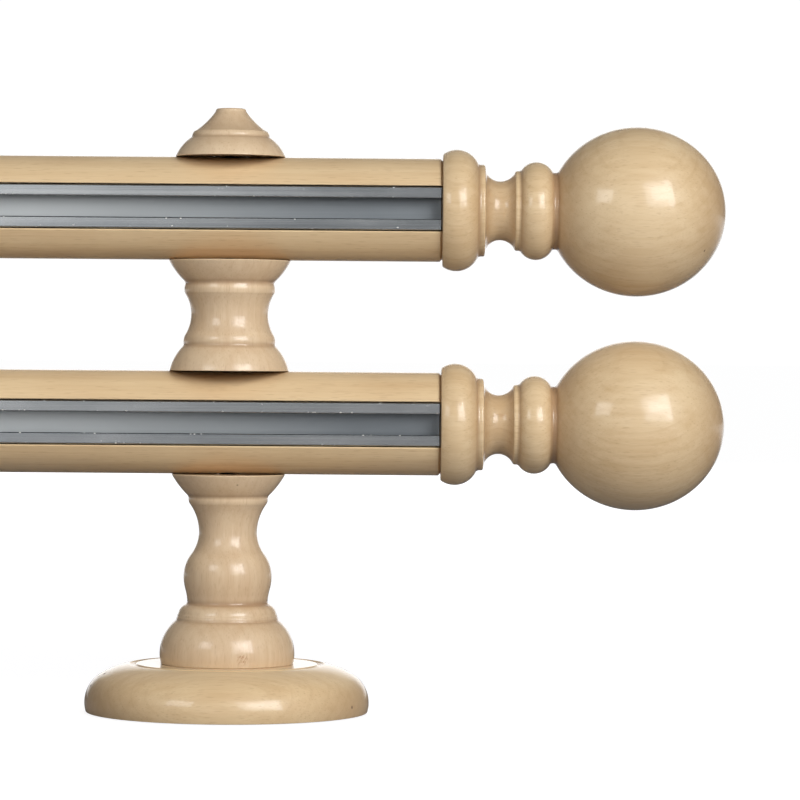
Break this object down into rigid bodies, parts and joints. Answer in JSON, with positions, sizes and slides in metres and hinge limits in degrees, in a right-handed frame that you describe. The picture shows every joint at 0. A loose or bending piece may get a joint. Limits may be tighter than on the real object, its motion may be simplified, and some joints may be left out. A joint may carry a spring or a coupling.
{
  "type": "double curtain pole",
  "caption": "Double wooden curtain pole: round poles with aluminium tracks let in, carried one beyond the other on turned wall brackets, with turned ball finials.",
  "frame": {"origin": "on the wall plane, midway between the brackets", "axes": "+Z away from the wall along the brackets, X along the poles, the track slots face -Y"},
  "size_m": [1.154, 0.0772, 0.1638],
  "materials": {
    "lacquered_wood": "glossy clear lacquer over pale stain",
    "track_aluminium": "extruded, satin",
    "rod_steel": "zinc plated",
    "sleeve_brass": "turned"
  },
  "bodies": {
    "root": {"left_wall_rose": "lacquered_wood", "left_coupling_sleeve": "sleeve_brass", "left_standoff": "lacquered_wood", "left_spacer": "lacquered_wood", "left_end_cap": "lacquered_wood", "left_cap_insert": "sleeve_brass", "left_stack_rod": "rod_steel", "right_wall_rose": "lacquered_wood", "right_coupling_sleeve": "sleeve_brass", "right_standoff": "lacquered_wood", "right_spacer": "lacquered_wood", "right_end_cap": "lacquered_wood", "right_cap_insert": "sleeve_brass", "right_stack_rod": "rod_steel", "inner_pole": "lacquered_wood", "inner_track": "track_aluminium", "inner_left_finial": "lacquered_wood", "inner_left_dowel_screw": "rod_steel", "inner_right_finial": "lacquered_wood", "inner_right_dowel_screw": "rod_steel", "outer_pole": "lacquered_wood", "outer_track": "track_aluminium", "outer_left_finial": "lacquered_wood", "outer_left_dowel_screw": "rod_steel", "outer_right_finial": "lacquered_wood", "outer_right_dowel_screw": "rod_steel"}
  },
  "joints": []
}
